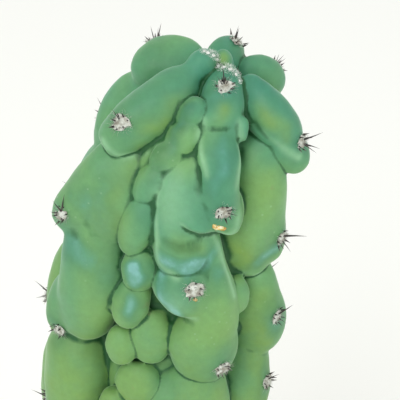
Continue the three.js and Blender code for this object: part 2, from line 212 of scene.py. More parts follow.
def clay_material():
    material, tree, shader = material_of("fired_clay", Specular_IOR_Level=0.25)
    place = node(tree, "TexCoord", "Object")
    cloudy = node(tree, "TexNoise", Vector=place, Scale=38, Detail=6)
    clay = ramp(
        tree, cloudy, (0.32, (0.4, 0.125, 0.06)), (0.52, (0.48, 0.17, 0.085)), (0.7, (0.58, 0.23, 0.125))
    )
    height = node(tree, "SeparateXYZ", "Z", Vector=place)
    foot = spread(tree, height, 45 * MM, 2 * MM)
    lime = node(tree, "TexNoise", Vector=place, Scale=70, Detail=8, Roughness=0.65)
    patch = spread(tree, maths(tree, "MULTIPLY_ADD", foot, 0.2, lime), 0.52, 0.8, high=0.75)
    limed = mix(tree, clay, (0.66, 0.52, 0.43), patch)
    pits = node(tree, "TexVoronoi", Vector=place, Scale=420)
    pitted = mix(tree, limed, (0.22, 0.08, 0.045), spread(tree, pits, 0.2, 0.08, high=0.45))
    rings = node(
        tree, "TexWave", "Fac", Vector=place, Scale=160, Distortion=1.5, Detail=2, Detail_Scale=0.4
    )
    rings.node.bands_direction = "Z"
    turned = node(tree, "Bump", Height=rings, Strength=0.2, Distance=0.15 * MM)
    grain = node(tree, "TexNoise", Vector=place, Scale=1400, Detail=3)
    bump = node(tree, "Bump", Height=grain, Normal=turned, Strength=0.25, Distance=0.3 * MM)
    fill(tree, shader, Base_Color=pitted, Roughness=spread(tree, lime, 0.3, 0.7, 0.82, 0.97), Normal=bump)
    return material


pot = shown("clay_pot", pot_wall())
pot.data.materials.append(clay_material())
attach(pot, "root")
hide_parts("pot")


# Soil
# A gritty mix of peat, sand and crushed stone, poured round the root and settled a little below the
# rim. Watering has left its top uneven.
SOIL_TOP = 100 * MM
STEM_ACROSS = -5 * MM
ROOT_RADIUS = 27 * MM
ROOT_DEPTH = 32 * MM
GAP = 0.3 * MM
SOIL_TURNS = 112
SOIL_SINK = 0.3 * MM
SOIL_LUMPS = 0.55
SOIL_LUMP_SIZE = 7 * MM
SOIL_SWELL = 0.6
SOIL_SWELL_SIZE = 24 * MM
SOIL_ROWS = 30
BED_TOP = SOIL_TOP - 1 * MM
NEAR_TOP = SOIL_TOP - 2 * MM


def inside_radius(up):
    share = (up - POT_FLOOR) / (POT_HEIGHT - 2 * MM - POT_FLOOR)
    return (POT_BASE_RADIUS - POT_WALL) * (1 - share) + POT_INSIDE_TOP * share


def soil_swell(spot):
    """How far the soil's slow waves lift a place, in millimetres."""
    return noise.noise(spot / SOIL_SWELL_SIZE) * SOIL_SWELL


def soil_bed():
    floor = POT_FLOOR + 2 * GAP
    loops = [
        (0, inside_radius(floor) - 3 * GAP, floor),
        (0, inside_radius(SOIL_TOP) - 3 * GAP, BED_TOP),
        (STEM_ACROSS, ROOT_RADIUS + 2 * GAP, BED_TOP),
        (STEM_ACROSS, ROOT_RADIUS + 2 * GAP, SOIL_TOP - ROOT_DEPTH - GAP),
    ]
    bm = bmesh.new()
    rings = []
    for across, radius, up in loops:
        made = bmesh.ops.create_circle(
            bm, segments=SOIL_TURNS, radius=radius, matrix=Matrix.Translation((across, 0, up))
        )
        rings.append([e for e in bm.edges if e.verts[0] in made["verts"]])
    for lower, upper in zip(rings, rings[1:]):
        bmesh.ops.bridge_loops(bm, edges=lower + upper)
    for end in (rings[0], rings[-1]):
        bmesh.ops.contextual_create(bm, geom=end)
    spokes = [
        e
        for e in bm.edges
        if all(v.co.z > NEAR_TOP for v in e.verts)
        and abs(e.verts[0].co.xy.length - e.verts[1].co.xy.length) > 10 * MM
    ]
    bmesh.ops.subdivide_edges(bm, edges=spokes, cuts=SOIL_ROWS, use_grid_fill=True)
    bmesh.ops.recalc_face_normals(bm, faces=bm.faces)
    for v in bm.verts:
        if v.co.z > NEAR_TOP:
            lumps = noise.fractal(v.co / SOIL_LUMP_SIZE, 0.8, 2.2, 5) * SOIL_LUMPS
            v.co.z = SOIL_TOP - SOIL_SINK + (lumps + soil_swell(v.co)) * MM
    return bm


def grit_material():
    material, tree, shader = material_of("gritty_soil", Roughness=0.95)
    crumbs = node(tree, "TexVoronoi", Vector=node(tree, "TexCoord", "Object"), Scale=900)
    shade = crumbs.node.outputs["Color"]
    browns = ramp(
        tree, shade, (0, (0.05, 0.032, 0.022)), (0.6, (0.12, 0.075, 0.048)), (1, (0.3, 0.21, 0.14))
    )
    bump = node(tree, "Bump", Height=crumbs, Strength=0.9, Distance=0.6 * MM)
    fill(tree, shader, Base_Color=browns, Normal=bump)
    return material


soil = shown("soil_bed", soil_bed())
soil.data.materials.append(grit_material())
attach(soil, "root")
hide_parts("soil")


# Loose grains
# The soil's coarser grains, washed clean by watering, lie loose on top: small crumbs of grit and bark,
# and rounder stones up to 5 mm across.
GRAIN_COUNT = 1500
STONE_COUNT = 170
GRAIN_SHAPES = 4
GRAIN_RADIUS = 0.35
GRAIN_SPREAD = 0.5
STONE_RADIUS = 1.1
STONE_SPREAD = 1.5
ROOT_CLEARANCE = 1.5 * MM
WALL_CLEARANCE = 2.2 * MM
GRAIN_SEED = 21
GRAIN_COLOURS = [
    (0.09, 0.06, 0.04),
    (0.2, 0.13, 0.08),
    (0.34, 0.24, 0.16),
    (0.5, 0.42, 0.33),
    (0.24, 0.1, 0.06),
    (0.62, 0.57, 0.5),
]


def seeded_series(seed):
    """One seeded series of random numbers between 0 and 1."""
    state = seed
    while True:
        state = (state * 1664525 + 1013904223) % 4294967296
        yield state / 4294967296


def poured(whole, mesh):
    """Adds a mesh to a bmesh, and removes the mesh."""
    whole.from_mesh(mesh)
    bpy.data.meshes.remove(mesh)


def loose_grains():
    """Every loose grain and stone as a squashed, uneven ball with one colour of its own."""
    draw = seeded_series(GRAIN_SEED)
    shapes = []
    for variant in range(2 * GRAIN_SHAPES):
        grain = bmesh.new()
        fineness = 2 if variant < GRAIN_SHAPES else 1
        bmesh.ops.create_icosphere(grain, subdivisions=fineness, radius=1)
        for v in grain.verts:
            v.co *= 1 + 0.45 * noise.noise(v.co * 1.3 + Vector((variant * 7.3, 0, 0)))
        shapes.append(mesh_of(grain))
        shapes[-1].color_attributes.new("grain_colour", "FLOAT_COLOR", "POINT")
    inner = ROOT_RADIUS + ROOT_CLEARANCE
    outer = inside_radius(SOIL_TOP) - WALL_CLEARANCE
    bm = bmesh.new()
    for i in range(GRAIN_COUNT + STONE_COUNT):
        is_stone = i < STONE_COUNT
        angle = 2 * math.pi * next(draw)
        away = math.sqrt(inner**2 + (outer**2 - inner**2) * next(draw))
        play = next(draw)
        grain_size = GRAIN_RADIUS + GRAIN_SPREAD * play
        size = (STONE_RADIUS + STONE_SPREAD * play**2 if is_stone else grain_size) * MM
        shape = shapes[int(next(draw) * GRAIN_SHAPES) + (0 if is_stone else GRAIN_SHAPES)]
        share = (away - inner) / (outer - inner)
        middle = STEM_ACROSS * (1 - share)
        turn = Quaternion((next(draw) - 0.5, next(draw) - 0.5, next(draw) - 0.5, next(draw) - 0.5))
        spot = Vector((middle + away * math.cos(angle), away * math.sin(angle), SOIL_TOP))
        spot.z += (soil_swell(spot) - 0.2) * MM + size * 0.25
        place = (
            Matrix.Translation(spot)
            @ Matrix.Diagonal((1, 1, 0.75, 1))
            @ turn.normalized().to_matrix().to_4x4()
            @ Matrix.Diagonal((size, size * 0.85, size * 0.7, 1))
        )
        colour = GRAIN_COLOURS[int(next(draw) * len(GRAIN_COLOURS))]
        light = 0.75 + 0.5 * next(draw)
        grain = shape.copy()
        grain.transform(place)
        tint = [channel * light for channel in colour] + [1]
        grain.color_attributes["grain_colour"].data.foreach_set("color", tint * len(grain.vertices))
        poured(bm, grain)
    for mesh in shapes:
        bpy.data.meshes.remove(mesh)
    return bm


def attribute(tree, name, output="Fac"):
    made = tree.nodes.new("ShaderNodeAttribute")
    made.attribute_name = name
    return made.outputs[output]


def stone_material():
    material, tree, shader = material_of("crushed_stone", Roughness=0.85)
    tint = attribute(tree, "grain_colour", "Color")
    pits = node(tree, "TexNoise", Vector=node(tree, "TexCoord", "Object"), Scale=1600, Detail=4)
    shaded = mix(tree, tint, pits.node.outputs["Color"], 0.6, "MULTIPLY")
    bump = node(tree, "Bump", Height=pits, Strength=0.5, Distance=0.2 * MM)
    fill(tree, shader, Base_Color=shaded, Normal=bump)
    return material


grains = shown("soil_grains", loose_grains())
grains.data.materials.append(stone_material())
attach(grains, "root")
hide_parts("soil")


# Stem
# One grown stem of swollen tubercles, which hang over each other in six ribs, with rows of small
# bare tubercles in the furrows. Its axis leans more and more to the right. The skin is smooth and
# waxy, with a pale blue bloom. Points are [across, front, up, half width] along the leaning axis.
STEM_HEIGHT = 185
STEM_TILT = math.radians(20)
BLUNTNESS = 0.5
FACING_OUT = 0.9
FACING_UP = 0.45
RIB_DEPTH = 12
BEAD_DEPTH = 5.5
LUMP_TURNS = 28
LUMP_RINGS = 20
TUBERCLE_SOFTNESS = 10
SKIN_SOFTNESS = 2
TUBERCLE_VOXEL = 1.2 * MM
SKIN_VOXEL = 0.6 * MM
SKIN_TRIANGLES = 190000


def on_stem(across, front, up):
    """The place of a point that is given across, to the front and up the stem's leaning axis."""
    share = max(up, 0) / STEM_HEIGHT
    tilt = STEM_TILT * share**2
    bend = STEM_TILT * share**3 / 3 - STEM_TILT**3 * share**7 / 42
    rise = up - STEM_HEIGHT * STEM_TILT**2 * share**5 / 10
    return Vector(
        (
            STEM_ACROSS + (STEM_HEIGHT * bend + across * math.cos(tilt)) * MM,
            -front * MM,
            SOIL_TOP + (rise - across * math.sin(tilt)) * MM,
        )
    )


def along_line(line, share):
    """Point and direction of a smooth line through its points, at a share of its length."""
    place = min(max(share, 0), 1) * (len(line) - 1)
    i = min(int(place), len(line) - 2)
    t = place - i
    start, end = line[i], line[i + 1]
    before = line[i - 1] if i > 0 else 2 * start - end
    after = line[i + 2] if i + 2 < len(line) else 2 * end - start
    leave = (end - before) / 2
    arrive = (after - start) / 2
    curve = 2 * start - 2 * end + leave + arrive
    sag = -3 * start + 3 * end - 2 * leave - arrive
    point = start + leave * t + sag * t**2 + curve * t**3
    heading = leave + 2 * sag * t + 3 * curve * t**2
    return point, heading.normalized()


def add_lump(bm, points, depth):
    """Adds one blunt-ended swollen body along a smooth centre line to a bmesh."""
    line = [Vector((across, -front, up)) for across, front, up, width in points]
    widths = [point[3] for point in points]
    outward = Vector((0, 0, 0))
    for point in points[len(points) // 2 :]:
        outward += Vector((point[0], -point[1], 0))
    facing = outward.normalized() * FACING_OUT + Vector((0, 0, FACING_UP))
    ball = bmesh.ops.create_uvsphere(bm, u_segments=LUMP_TURNS, v_segments=LUMP_RINGS, radius=1)
    for v in ball["verts"]:
        share = min(max((1 - v.co.z) / 2, 0), 1)
        reach = math.hypot(v.co.x, v.co.y)
        reach = 0 if reach < 1e-6 else reach**BLUNTNESS
        angle = math.atan2(v.co.y, v.co.x)
        spot = share * (len(points) - 1)
        i = min(int(spot), len(points) - 2)
        width = widths[i] + (widths[i + 1] - widths[i]) * (spot - i)
        middle, heading = along_line(line, share)
        side = heading.cross(facing).normalized()
        out = side.cross(heading)
        point = middle + side * (width * reach * math.cos(angle))
        point += out * (depth * reach * math.sin(angle))
        v.co = on_stem(point.x, -point.y, point.z)


def rib_lump(azimuth, reach, tip, half_width=14, lean=0):
    """The centre line of a plain tubercle that hangs from under the one above to its blunt tip. Its
    rows are (distance from the axis, height over the tip, share of the width, share of the lean)."""
    line = [
        (reach - 24, 30, 0.75, 1),
        (reach - 16, 20, 1, 0.7),
        (reach - 12, 9, 1.05, 0.3),
        (reach - 12, -2, 1, 0),
        (reach - 14, -10, 0.7, -0.2),
    ]
    points = []
    for radius, above, share, turn in line:
        angle = math.radians(azimuth + lean * turn)
        across = radius * math.sin(angle)
        front = radius * math.cos(angle)
        points.append([across, front, tip + above, half_width * share])
    return points, RIB_DEPTH


def bead(across, front, up, half_width, half_length, lean):
    """The centre line of a small bare tubercle in a furrow. Its top tips to the right by the lean."""
    run = half_length * math.sin(math.radians(lean))
    rise = half_length * math.cos(math.radians(lean))
    points = [
        [across + run, front - 7, up + rise, half_width * 0.9],
        [across, front - 5, up, half_width * 1.1],
        [across - run, front - 6, up - rise, half_width * 0.9],
    ]
    return points, BEAD_DEPTH


# Each tubercle is a few bodies that flow into one another. Between tubercles the skin folds in.
GROWING_TIP = [
    [([[-2, 1, 189, 3], [-1, 4, 188, 4], [0.5, 7, 185, 4]], 5)],
]
FRONT_RIB = [
    [
        ([[0.5, 5, 185, 5], [1, 11, 182.5, 7], [2, 16, 178, 7.5], [2.5, 20, 173, 8.5], [4, 24, 167, 8.5]], 9),
        ([[3, 20, 173, 8], [4, 25, 166, 8.5], [6, 28, 160, 7.5], [8, 30, 152, 7], [10.5, 31, 142, 7]], 9),
        ([[0, 24, 156, 6], [1, 27.5, 149, 9], [3, 30, 143, 9.5], [6, 31, 138, 8]], 9),
        ([[9, 25, 157, 3], [11.5, 27, 151, 5], [12.5, 28, 145, 5.5], [12.5, 29, 139.5, 5]], 8),
        ([[-6, 18, 162, 5.5], [-4.5, 23, 155, 10], [-2.5, 26, 147, 11.5], [-0.5, 27, 139, 11]], 10),
    ],
    [
        ([[-3, 24, 156, 9], [-1.5, 27, 147, 11.5], [0, 28, 138, 11.5], [1.5, 28.5, 128, 11],
          [3.5, 28.5, 117, 8.5]], 10.3),
    ],
    [
        ([[2, 26, 130, 7], [3, 28.5, 121, 11], [4, 30, 114, 11.5], [3.5, 30, 107, 8.5]], 10.5),
        ([[6, 23, 141, 4], [6.5, 25.5, 134, 5], [7.5, 27.5, 124, 7], [8, 29, 116, 7]], 9),
        ([[5, 21, 141, 4], [7, 24, 134, 4.5], [9.5, 26, 124, 6.5], [12.5, 27.5, 111, 10],
          [14, 28, 100, 10.5], [13, 28.5, 88, 11]], 11),
        ([[12, 27, 106, 11], [12, 28, 98, 12.5], [12.5, 28, 91, 13], [12, 29, 79, 11]], 11.5),
    ],
    [
        ([[9, 25, 85, 9], [11, 27, 75, 11.5], [12, 28, 60, 12], [13, 27, 42, 8]], 12),
        rib_lump(14, 41, 50),
        rib_lump(14, 39, 20),
    ],
]
LEFT_RIB = [
    [
        ([[-4, 5, 188, 4.5], [-7, 7, 186, 5], [-10, 9, 183, 5]], 6),
        ([[-8, 8, 182, 6], [-12, 11, 177, 8], [-17, 14, 171, 9], [-23, 17, 165, 9],
          [-31, 18, 155.5, 8.5]], 9.5),
    ],
    [
        ([[-20, 12, 160, 8], [-23, 13, 150, 9], [-27, 15, 142, 9.5], [-32, 14, 133, 9],
          [-39, 12, 122, 7]], 11.5),
        ([[-17, 12, 161, 9], [-19.5, 14, 148, 12], [-23, 15, 136, 13], [-25, 15, 122, 13.5]], 12),
        ([[-23, 13, 138, 11], [-26, 14, 124, 13], [-26, 15, 110, 13.5], [-27, 15, 98, 13],
          [-28, 14, 84, 11.5]], 12.5),
        ([[-31, 11, 106, 7], [-34.5, 11, 94, 8], [-37, 11, 83, 7]], 8),
        ([[-27, 10, 85, 11], [-30, 10, 72, 14], [-30, 10, 54, 14.5], [-30, 10, 39, 11]], 13),
        rib_lump(-68, 40, 18),
    ],
]
RIGHT_RIB = [
    [
        ([[5, 8, 186, 4.5], [10, 11, 183, 5.5], [15.5, 13, 180, 7], [21, 15, 177, 8], [28.5, 15, 173, 8]], 9),
        ([[20, 13, 175, 6], [25, 14, 170, 7.5], [27.5, 14, 166, 7], [27.5, 14, 160.5, 5.5]], 9),
    ],
    [
        ([[16, 11, 174, 6], [18, 14, 161, 10], [21, 15, 148, 11], [23, 15, 134, 13],
          [24, 15, 116, 12.5]], 12),
        ([[22, 15, 150, 7], [26, 16, 138, 7.5], [29.5, 15, 122, 7.5]], 9),
        ([[15, 14, 151, 5], [16.5, 17, 142, 7], [17.5, 18.5, 131, 8.5], [20, 17, 119, 8.5]], 7.5),
    ],
    [
        ([[25, 12, 122, 7], [26.5, 14, 107, 9.5], [30, 14, 95, 10.5], [30, 13, 82, 8.5]], 12),
        ([[26, 12, 90, 7], [26.5, 13, 76, 9.5], [26.5, 15, 62, 10.5], [26, 14, 48, 9.5]], 12),
        rib_lump(62, 39, 23),
    ],
]
BACK_LEFT_RIB = [
    [
        ([[-4, -2, 180.5, 6], [-9, -5, 177.5, 8], [-15.5, -8, 174.5, 9.5], [-16, -10, 167, 9.5],
          [-12, -12, 152, 8]], 11),
        ([[-13, -6, 174, 7], [-19, -7, 174.5, 8], [-20, -8, 168, 8]], 9),
        ([[-18, -10, 166, 7], [-21.5, -12, 156, 10.5], [-22, -13, 146, 12], [-20, -12, 134, 10.5]], 12.5),
        rib_lump(-120, 42, 116, 15, -8),
    ],
    [
        ([[-28, -8, 106, 8], [-30, -9, 95, 11], [-32, -9, 83, 13.5], [-32, -9, 61, 11]], 12.5),
        ([[-30, -9, 71, 13], [-32, -9, 57, 15.5], [-32, -9, 43, 16], [-30, -9, 31, 12]], 13.5),
        rib_lump(-108, 39, 20, 14, 6),
    ],
]
BACK_RIB = [
    [([[-2, -2, 181, 6], [1, -8, 184.5, 6.2], [3, -13, 182.5, 6.2], [4, -18, 172, 6]], 7)],
    [
        rib_lump(176, 32, 150, 13, -6),
        rib_lump(178, 39, 125, 16, 8),
        rib_lump(184, 41, 89, 17, -8),
        rib_lump(182, 43, 58, 16, 6),
        rib_lump(186, 40, 21, 15, -5),
    ],
]
BACK_RIGHT_RIB = [
    [([[6, -3, 183, 5], [12, -7, 182, 6], [17, -10, 180, 7], [18, -12, 171, 6]], 8)],
    [
        rib_lump(118, 32, 146, 13, 8),
        rib_lump(124, 39, 117, 15, -7),
        rib_lump(121, 41, 88, 15, 6),
        rib_lump(126, 42, 56, 16, -6),
        rib_lump(122, 39, 23, 14, 5),
    ],
]
FURROW_BEADS = [
    bead(-6.5, 25, 174.5, 4.5, 5, 20),
    bead(-7, 28, 167, 5.5, 6.5, 22),
    bead(-10.5, 30, 160, 5, 5.5, 35),
    bead(-13, 31, 151, 5.5, 8, 22),
    bead(-14.5, 32, 136, 6, 11.5, 9),
    bead(-12, 32.5, 119.5, 6, 7.5, 0),
    bead(-13.5, 33, 106, 6.5, 8.5, 14),
    bead(-5.5, 33.5, 94, 7, 10.5, -2),
    bead(-15, 32.5, 89, 5.5, 6.5, -5),
    bead(-9, 33, 74, 7.5, 8, 0),
    bead(-2, 32, 66, 6, 7, 0),
    bead(-17, 32, 62, 6, 7, 0),
    bead(-10, 32, 52, 7, 7.5, 0),
    bead(8.5, 25, 174.5, 3.3, 3.5, -10),
    bead(20.5, 30.5, 112.5, 5, 7, -12),
    bead(-10, 28.5, 128, 3.5, 4.5, 0),
]
FURROW_FLOORS = [
    ([[-7, 15, 170, 7], [-11, 19, 158, 8], [-13, 19, 146, 8], [-12, 18, 118, 8], [-10, 17, 60, 8]], 8),
    ([[9, 13, 168, 5], [13, 17, 150, 6], [15, 18, 130, 7], [17, 18, 105, 8], [17, 18, 70, 8]], 7),
]
HIDDEN_FURROWS = [-92, -152, 150, 92]
HIDDEN_BEAD_TOP = 146
HIDDEN_BEAD_LOWEST = 30
HIDDEN_BEAD_STEP = 30
HIDDEN_BEAD_REACH = 31
BEAD_SEED = 11


def hidden_beads():
    """Beads of the furrows that face away, with a little play in size and place."""
    draw = seeded_series(BEAD_SEED)
    beads = []
    for azimuth in HIDDEN_FURROWS:
        up = HIDDEN_BEAD_TOP
        while up > HIDDEN_BEAD_LOWEST:
            angle = math.radians(azimuth + 6 * (next(draw) - 0.5))
            reach = HIDDEN_BEAD_REACH + 2 * next(draw) - 6
            half_width = 5 + next(draw)
            points = [
                [reach * math.sin(angle), reach * math.cos(angle), up + rise, half_width * share]
                for rise, share in ((7, 0.9), (0, 1.1), (-7, 0.9))
            ]
            beads.append((points, BEAD_DEPTH))
            up -= HIDDEN_BEAD_STEP + 5 * next(draw)
    return beads


def stem_core(bm):
    """Adds the body inside the ribs, with the plain round root that stands in the soil."""
    profile = [
        (0, -ROOT_DEPTH / MM),
        (ROOT_RADIUS / MM - 4, -ROOT_DEPTH / MM),
        (ROOT_RADIUS / MM, -ROOT_DEPTH / MM + 6),
        (ROOT_RADIUS / MM, 3),
        (ROOT_RADIUS / MM + 3, 14),
        (27, 125),
        (26, 143),
        (23, 156),
        (17, 168),
        (9, 177),
        (0, 180),
    ]
    line = [bm.verts.new((radius, 0, up)) for radius, up in profile]
    rise = [bm.edges.new(pair) for pair in zip(line, line[1:])]
    bmesh.ops.spin(
        bm, geom=line + rise, axis=(0, 0, 1), cent=(0, 0, 0), angle=2 * math.pi, steps=48, use_merge=True
    )
    for v in bm.verts:
        v.co = on_stem(v.co.x, -v.co.y, v.co.z)
    bmesh.ops.remove_doubles(bm, verts=bm.verts, dist=0.01 * MM)


def applied(piece):
    """Applies an object's modifiers and returns its final mesh, with the object removed."""
    depsgraph = bpy.context.evaluated_depsgraph_get()
    mesh = bpy.data.meshes.new_from_object(piece.evaluated_get(depsgraph))
    source = piece.data
    bpy.data.objects.remove(piece)
    bpy.data.meshes.remove(source)
    return mesh


def melted(name, bm, voxel, softness):
    """One closed skin over every body in a bmesh, with the seams between them softened."""
    bmesh.ops.recalc_face_normals(bm, faces=bm.faces)
    lumps = shown(name, bm)
    wrap = lumps.modifiers.new("wrap", "REMESH")
    wrap.mode = "VOXEL"
    wrap.voxel_size = voxel
    soften = lumps.modifiers.new("soften", "SMOOTH")
    soften.factor = 0.5
    soften.iterations = softness
    return applied(lumps)


def stem_skin():
    """The skin over the core, the furrows' beads and every rib's groups of bodies."""
    whole = bmesh.new()
    stem_core(whole)
    for points, depth in FURROW_FLOORS + FURROW_BEADS + hidden_beads():
        pebble = bmesh.new()
        add_lump(pebble, points, depth)
        poured(whole, mesh_of(pebble))
    ribs = [GROWING_TIP, FRONT_RIB, LEFT_RIB, RIGHT_RIB, BACK_LEFT_RIB, BACK_RIB, BACK_RIGHT_RIB]
    for group in sum(ribs, []):
        lumps = bmesh.new()
        for points, depth in group:
            add_lump(lumps, points, depth)
        poured(whole, melted("tubercles", lumps, TUBERCLE_VOXEL, TUBERCLE_SOFTNESS))
    skin = added("stem_skin", melted("stem_skin", whole, SKIN_VOXEL, SKIN_SOFTNESS))
    triangles = sum(len(face.vertices) - 2 for face in skin.data.polygons)
    if triangles > SKIN_TRIANGLES:
        thin = skin.modifiers.new("thin", "DECIMATE")
        thin.ratio = SKIN_TRIANGLES / triangles
        skin = added("stem_skin", applied(skin))
    return skin


SWELL = 0.7
SWELL_SIZE = 11
RIPPLE = 0.12
RIPPLE_SIZE = 4
CREASES = [
    ([[-3, 26, 174, 0.2], [0, 27, 175, 0.5], [4, 26.5, 176, 0.5], [6.5, 25, 177, 0.2]], 1.8),
    ([[-3, 26.5, 168.5, 0.3], [-2, 28.5, 165, 1.2], [-0.5, 31.5, 161.5, 1.3], [1.5, 34.5, 156, 0.2]],
     1.3),
    ([[-4, 37, 144, 0.1], [2, 38, 141.5, 1.1], [5.5, 37, 141, 1.1], [9, 34, 140, 0.7]], 1.3),
    ([[-3, 38, 139, 0.1], [2, 38, 137.5, 0.8], [6.5, 36.5, 137.5, 0.8]], 3.4),
    ([[-4, 37, 146, -0.2], [2, 38, 144.5, -0.9], [5.5, 38, 144, -0.9]], 2),
    ([[-37, 20, 124, 0.3], [-34, 22, 124, 0.8], [-30, 24, 126, 0.8], [-27.5, 25.5, 130, 0.3]], 4),
]
# Folds pressed deeper into the skin along lines. The same lines are painted dark green in the skin's colour:
# painted shade.
SHADED_FOLDS = [
    ([[-9.5, 24, 178, 0.4], [-10, 25.5, 172, 0.42], [-13.5, 28, 163, 0.4], [-14.5, 30.5, 154, 0.35]], 5),
    ([[-3, 26, 174, 0.15], [0, 27, 175, 0.62], [4, 26.5, 176, 0.66], [6.5, 25, 177, 0.15]], 1.1),
    ([[8.5, 21, 181, 0.6], [13.5, 19.5, 177, 0.9], [18.5, 21, 174, 0.5]], 1.4),
    ([[-12, 31, 149, 0.5], [-10, 31.5, 133, 0.8]], 1.4),
    ([[13.5, 25, 134.5, 0.8], [17, 25.5, 128, 0.7]], 1.8),
    ([[12.5, 19, 166, 0.8], [15, 32, 154.5, 0.5], [18, 31.5, 144.5, 0.6]], 1.4),
    ([[-5.5, 36, 136, 0.5], [-1, 37, 135.5, 0.6], [4, 37, 136, 0.55]], 3.4),
]
DEEP_FOLD_PRESS = 0.6
# Lines along the lips, ridges and edges of the tubercles that are painted lighter: painted highlights.
HIGHLIGHT_LINES = [
    ([[-3, 37, 144.5, 0.4], [3, 36.5, 142, 0.9], [9.5, 33, 140, 0.9], [14.5, 34, 142, 0.9],
      [15.5, 34, 150, 0.5]], 1.2),
    ([[10.5, 32, 138, 0.6], [16, 33, 127, 0.9], [20, 33.5, 117, 0.8]], 1.2),
    ([[-10, 30, 158, 0.4], [-11, 32, 148, 0.8], [-9, 33.5, 136, 0.8], [-6.5, 33.5, 127, 0.8],
      [0, 37.5, 124, 0.7]], 1.4),
    ([[-3, 25, 176, 0.6], [-3.5, 27, 171.5, 0.9], [-2, 29, 168.5, 0.9], [-0.5, 32, 166, 0.9],
      [1.5, 34.5, 162, 0.6]], 1.3),
    ([[8, 24, 178, 0.4], [10, 25, 172, 0.8], [11.5, 27.5, 168, 0.9], [12, 31, 164, 0.9],
      [12, 34, 160, 0.5]], 1.3),
    ([[-32, 22, 159, 0.7], [-25.5, 22.5, 156, 0.9], [-18.5, 22, 157.5, 0.6], [-13, 25.5, 165.5, 0.4]], 1.4),
    ([[17, 21, 175.5, 0.5], [25.5, 21.5, 172, 0.6], [31, 20.5, 170, 0.8]], 1.4),
    ([[-6, 33, 116, 0.6], [-1, 36, 106, 0.8], [8, 37, 108.5, 0.6]], 1.4),
    ([[-8, 33, 153, 0.5], [-6.5, 36, 146, 0.45]], 6),
    ([[1, 39.5, 114.5, 0.4]], 5),
    ([[20, 24, 122, 0.5], [28, 20, 118.5, 0.7]], 1.4),
]
FOLD_EASING = 12
FOLD_DEPTH = 0.5 * MM
PAD_REACH = 60
PAD_BLOOM = 0.6
PAD_BLOOM_SIZE = 8 * MM
# Rows are [azimuth, distance from the axis, height, lift, size, long spines].
PADS = [
    [-2, 12, 178, 50, 0.85, [(6.3, 92, 42), (3.4, 135, 45), (3.2, 50, 45)]],
    [15, 38, 151.5, 20, 0.8, [(3.6, 28, 50), (3.4, -14, 62), (2, 200, 30)]],
    [9, 40, 121, 10, 1, [(2.2, 90, 20), (1.8, 70, 30)]],
    [28, 41, 88, 0, 0.9, [(3.5, 60, 40)]],
    [14, 41, 53, 5, 0.9, [(4, 120, 40)]],
    [14, 39, 23, 5, 0.9, [(3, 60, 40)]],
    [-50, 36, 166.5, 25, 1, [(4.4, 120, 38), (2, 100, 30)]],
    [-64, 43, 130, 20, 0.85, [(6.2, 92, 40), (7, 82, 76), (3, -50, 60), (2.8, 180, 30)]],
    [-66, 43, 86.5, 5, 0.9, [(4, 90, 50), (3.5, 40, 50)]],
    [-77, 46, 52.5, 0, 0.9, [(5.5, 100, 35), (4.5, 20, 40)]],
    [-68, 40, 22, 5, 0.9, [(4, 100, 35)]],
    [59, 36, 175, 20, 0.8, [(6.6, 45, 25), (5.6, -60, 10), (4.8, -70, 35)]],
    [58, 40, 135.5, 10, 0.8, [(8.2, 50, 25), (4.4, -90, 32)]],
    [60, 42, 101.5, 5, 0.8, [(6.6, 70, 42), (3, -60, 40)]],
    [61, 42, 71, 5, 0.9, [(5, 80, 40)]],
    [62, 39, 25, 5, 0.9, [(4, 90, 30)]],
    [-125, 27, 180, 55, 0.9, [(5.8, 180, 30), (4.4, 60, 10), (3.5, 150, 20)]],
    [-123, 40, 149, 15, 0.9, [(5, 100, 35)]],
    [-120, 42, 118, 10, 0.9, [(5, 60, 30), (4, 150, 40)]],
    [-105, 46, 82, 5, 0.9, [(6, 100, 35), (4, 0, 40)]],
    [-124, 44, 55, 5, 0.9, [(6, 120, 30), (5, 30, 45)]],
    [-108, 39, 22, 5, 0.9, [(4, 80, 30)]],
    [163, 9.5, 190, 80, 0.8, [(3.8, 95, 20), (4.2, 70, 25), (3.4, 20, 40), (3, 130, 30)]],
    [170, 35, 153, 15, 0.9, [(5, 60, 30), (4, 160, 35)]],
    [178, 40, 128, 10, 0.9, [(6, 80, 30)]],
    [184, 42, 92, 10, 0.9, [(5, 130, 35), (5, 30, 30)]],
    [182, 44, 61, 5, 0.9, [(4, 90, 40)]],
    [186, 41, 23, 5, 0.9, [(4, 60, 30)]],
    [125, 24, 185, 50, 0.8, [(3.5, 100, 15), (3, 60, 25), (3, 140, 25)]],
    [118, 37, 149, 15, 0.9, [(5, 100, 30), (4, 0, 45)]],
    [124, 40, 120, 10, 0.9, [(5, 60, 35)]],
    [121, 42, 91, 10, 0.9, [(6, 110, 30), (4, 10, 40)]],
    [126, 43, 59, 5, 0.9, [(4, 80, 40)]],
    [122, 40, 25, 5, 0.9, [(4, 90, 30)]],
]
